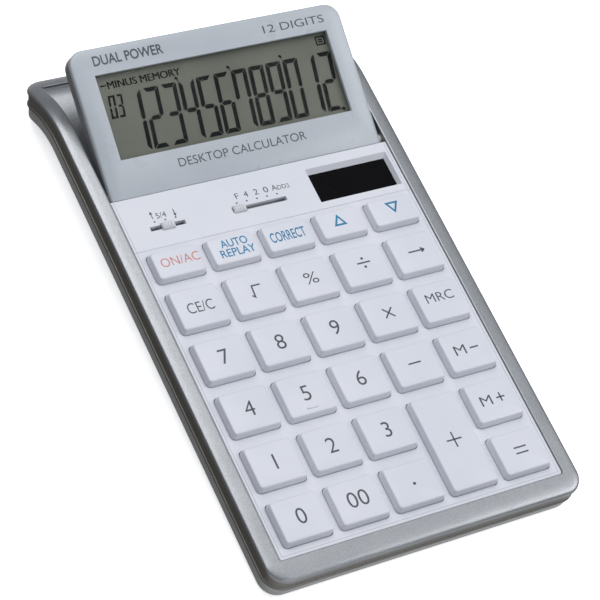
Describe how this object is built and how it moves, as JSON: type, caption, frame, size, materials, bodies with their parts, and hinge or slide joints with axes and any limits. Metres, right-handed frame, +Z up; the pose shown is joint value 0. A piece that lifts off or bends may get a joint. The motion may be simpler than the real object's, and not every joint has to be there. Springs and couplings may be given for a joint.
{
  "type": "desk calculator",
  "caption": "Desktop calculator with a five-column keypad, slide switches, a solar window and a tilting display over a slim case whose rear end curls down.",
  "frame": {"origin": "centre of the footprint, on the desk under the feet", "axes": "+X to the user's right, +Y from the front edge to the rear edge, +Z up from the desk"},
  "size_m": [0.1088, 0.1846, 0.0343],
  "materials": {
    "silver_frame": "satin metallic paint, fine grain",
    "side_wall": "satin grey with a metallic cast",
    "lower_case": "fine texture",
    "white_face": "satin",
    "keycap": "satin with printed legends",
    "slide_knob": "satin",
    "bezel": "semi-gloss",
    "display_case": "satin",
    "window": "clear, glossy",
    "lcd": "olive grey, satin",
    "dark_window": "smoked, glossy",
    "solar_cell": "dark amorphous silicon",
    "rubber": "matte",
    "key_rubber": "matte silicone",
    "circuit_board": "solder mask",
    "chip": "moulded epoxy",
    "screw_steel": "zinc plated",
    "contact_metal": "nickel-plated spring brass",
    "cell_case": "drawn steel",
    "nylon": "nylon"
  },
  "bodies": {
    "case": {"top_frame": "silver_frame", "upper_shell": "side_wall", "lower_shell": "lower_case", "battery_door": "lower_case", "keypad_panel": "white_face", "control_panel": "white_face", "display_well": "white_face", "switch_bodies": "slide_knob", "solar_window": "dark_window", "solar_cell": "solar_cell", "rubber_feet": "rubber", "key_mat": "key_rubber", "main_board": "circuit_board", "logic_chip": "chip", "case_screws": "screw_steel", "board_screws": "screw_steel", "battery_door_screw": "screw_steel", "battery_contact_plus": "contact_metal", "battery_contact_minus": "contact_metal", "battery_cell": "cell_case", "hinge_washers": "nylon"},
    "display": {"display_bezel": "bezel", "display_back": "display_case", "display_window": "window", "lcd_glass": "lcd", "zebra_strip": "rubber", "display_board": "circuit_board", "display_screws": "screw_steel", "hinge_pins": "screw_steel"},
    "key_on_ac": {"key_on_ac": "keycap"},
    "key_auto_replay": {"key_auto_replay": "keycap"},
    "key_correct": {"key_correct": "keycap"},
    "key_up": {"key_up": "keycap"},
    "key_down": {"key_down": "keycap"},
    "key_ce_c": {"key_ce_c": "keycap"},
    "key_root": {"key_root": "keycap"},
    "key_percent": {"key_percent": "keycap"},
    "key_divide": {"key_divide": "keycap"},
    "key_backspace": {"key_backspace": "keycap"},
    "key_7": {"key_7": "keycap"},
    "key_8": {"key_8": "keycap"},
    "key_9": {"key_9": "keycap"},
    "key_multiply": {"key_multiply": "keycap"},
    "key_mrc": {"key_mrc": "keycap"},
    "key_4": {"key_4": "keycap"},
    "key_5": {"key_5": "keycap"},
    "key_6": {"key_6": "keycap"},
    "key_minus": {"key_minus": "keycap"},
    "key_m_minus": {"key_m_minus": "keycap"},
    "key_1": {"key_1": "keycap"},
    "key_2": {"key_2": "keycap"},
    "key_3": {"key_3": "keycap"},
    "key_plus": {"key_plus": "keycap"},
    "key_m_plus": {"key_m_plus": "keycap"},
    "key_0": {"key_0": "keycap"},
    "key_00": {"key_00": "keycap"},
    "key_point": {"key_point": "keycap"},
    "key_equals": {"key_equals": "keycap"},
    "rounding_knob": {"rounding_knob": "slide_knob"},
    "decimal_knob": {"decimal_knob": "slide_knob"}
  },
  "joints": [
    {"name": "display_tilt", "type": "hinge", "parent": "case", "child": "display", "pos_m": [0, 0.04122, 0.01473], "axis": [1, 0, 0], "range_deg": [-18.6, 12]},
    {"name": "rounding_slide", "type": "slide", "parent": "case", "child": "rounding_knob", "axis": [1, 0, 0], "range_m": [-0.00358, 0.00358]},
    {"name": "decimal_slide", "type": "slide", "parent": "case", "child": "decimal_knob", "axis": [1, 0, 0], "range_m": [0, 0.01432]},
    {"name": "key_on_ac_press", "type": "slide", "parent": "case", "child": "key_on_ac", "axis": [0, 0.048, -0.9988], "range_m": [0, 0.0012], "stiffness_N_per_m": 400, "springref_m": -0.0006},
    {"name": "key_auto_replay_press", "type": "slide", "parent": "case", "child": "key_auto_replay", "axis": [0, 0.048, -0.9988], "range_m": [0, 0.0012], "stiffness_N_per_m": 400, "springref_m": -0.0006},
    {"name": "key_correct_press", "type": "slide", "parent": "case", "child": "key_correct", "axis": [0, 0.048, -0.9988], "range_m": [0, 0.0012], "stiffness_N_per_m": 400, "springref_m": -0.0006},
    {"name": "key_up_press", "type": "slide", "parent": "case", "child": "key_up", "axis": [0, 0.048, -0.9988], "range_m": [0, 0.0012], "stiffness_N_per_m": 400, "springref_m": -0.0006},
    {"name": "key_down_press", "type": "slide", "parent": "case", "child": "key_down", "axis": [0, 0.048, -0.9988], "range_m": [0, 0.0012], "stiffness_N_per_m": 400, "springref_m": -0.0006},
    {"name": "key_ce_c_press", "type": "slide", "parent": "case", "child": "key_ce_c", "axis": [0, 0.048, -0.9988], "range_m": [0, 0.0012], "stiffness_N_per_m": 400, "springref_m": -0.0006},
    {"name": "key_root_press", "type": "slide", "parent": "case", "child": "key_root", "axis": [0, 0.048, -0.9988], "range_m": [0, 0.0012], "stiffness_N_per_m": 400, "springref_m": -0.0006},
    {"name": "key_percent_press", "type": "slide", "parent": "case", "child": "key_percent", "axis": [0, 0.048, -0.9988], "range_m": [0, 0.0012], "stiffness_N_per_m": 400, "springref_m": -0.0006},
    {"name": "key_divide_press", "type": "slide", "parent": "case", "child": "key_divide", "axis": [0, 0.048, -0.9988], "range_m": [0, 0.0012], "stiffness_N_per_m": 400, "springref_m": -0.0006},
    {"name": "key_backspace_press", "type": "slide", "parent": "case", "child": "key_backspace", "axis": [0, 0.048, -0.9988], "range_m": [0, 0.0012], "stiffness_N_per_m": 400, "springref_m": -0.0006},
    {"name": "key_7_press", "type": "slide", "parent": "case", "child": "key_7", "axis": [0, 0.048, -0.9988], "range_m": [0, 0.0012], "stiffness_N_per_m": 400, "springref_m": -0.0006},
    {"name": "key_8_press", "type": "slide", "parent": "case", "child": "key_8", "axis": [0, 0.048, -0.9988], "range_m": [0, 0.0012], "stiffness_N_per_m": 400, "springref_m": -0.0006},
    {"name": "key_9_press", "type": "slide", "parent": "case", "child": "key_9", "axis": [0, 0.048, -0.9988], "range_m": [0, 0.0012], "stiffness_N_per_m": 400, "springref_m": -0.0006},
    {"name": "key_multiply_press", "type": "slide", "parent": "case", "child": "key_multiply", "axis": [0, 0.048, -0.9988], "range_m": [0, 0.0012], "stiffness_N_per_m": 400, "springref_m": -0.0006},
    {"name": "key_mrc_press", "type": "slide", "parent": "case", "child": "key_mrc", "axis": [0, 0.048, -0.9988], "range_m": [0, 0.0012], "stiffness_N_per_m": 400, "springref_m": -0.0006},
    {"name": "key_4_press", "type": "slide", "parent": "case", "child": "key_4", "axis": [0, 0.048, -0.9988], "range_m": [0, 0.0012], "stiffness_N_per_m": 400, "springref_m": -0.0006},
    {"name": "key_5_press", "type": "slide", "parent": "case", "child": "key_5", "axis": [0, 0.048, -0.9988], "range_m": [0, 0.0012], "stiffness_N_per_m": 400, "springref_m": -0.0006},
    {"name": "key_6_press", "type": "slide", "parent": "case", "child": "key_6", "axis": [0, 0.048, -0.9988], "range_m": [0, 0.0012], "stiffness_N_per_m": 400, "springref_m": -0.0006},
    {"name": "key_minus_press", "type": "slide", "parent": "case", "child": "key_minus", "axis": [0, 0.048, -0.9988], "range_m": [0, 0.0012], "stiffness_N_per_m": 400, "springref_m": -0.0006},
    {"name": "key_m_minus_press", "type": "slide", "parent": "case", "child": "key_m_minus", "axis": [0, 0.048, -0.9988], "range_m": [0, 0.0012], "stiffness_N_per_m": 400, "springref_m": -0.0006},
    {"name": "key_1_press", "type": "slide", "parent": "case", "child": "key_1", "axis": [0, 0.048, -0.9988], "range_m": [0, 0.0012], "stiffness_N_per_m": 400, "springref_m": -0.0006},
    {"name": "key_2_press", "type": "slide", "parent": "case", "child": "key_2", "axis": [0, 0.048, -0.9988], "range_m": [0, 0.0012], "stiffness_N_per_m": 400, "springref_m": -0.0006},
    {"name": "key_3_press", "type": "slide", "parent": "case", "child": "key_3", "axis": [0, 0.048, -0.9988], "range_m": [0, 0.0012], "stiffness_N_per_m": 400, "springref_m": -0.0006},
    {"name": "key_plus_press", "type": "slide", "parent": "case", "child": "key_plus", "axis": [0, 0.048, -0.9988], "range_m": [0, 0.0012], "stiffness_N_per_m": 400, "springref_m": -0.0006},
    {"name": "key_m_plus_press", "type": "slide", "parent": "case", "child": "key_m_plus", "axis": [0, 0.048, -0.9988], "range_m": [0, 0.0012], "stiffness_N_per_m": 400, "springref_m": -0.0006},
    {"name": "key_0_press", "type": "slide", "parent": "case", "child": "key_0", "axis": [0, 0.048, -0.9988], "range_m": [0, 0.0012], "stiffness_N_per_m": 400, "springref_m": -0.0006},
    {"name": "key_00_press", "type": "slide", "parent": "case", "child": "key_00", "axis": [0, 0.048, -0.9988], "range_m": [0, 0.0012], "stiffness_N_per_m": 400, "springref_m": -0.0006},
    {"name": "key_point_press", "type": "slide", "parent": "case", "child": "key_point", "axis": [0, 0.048, -0.9988], "range_m": [0, 0.0012], "stiffness_N_per_m": 400, "springref_m": -0.0006},
    {"name": "key_equals_press", "type": "slide", "parent": "case", "child": "key_equals", "axis": [0, 0.048, -0.9988], "range_m": [0, 0.0012], "stiffness_N_per_m": 400, "springref_m": -0.0006}
  ]
}
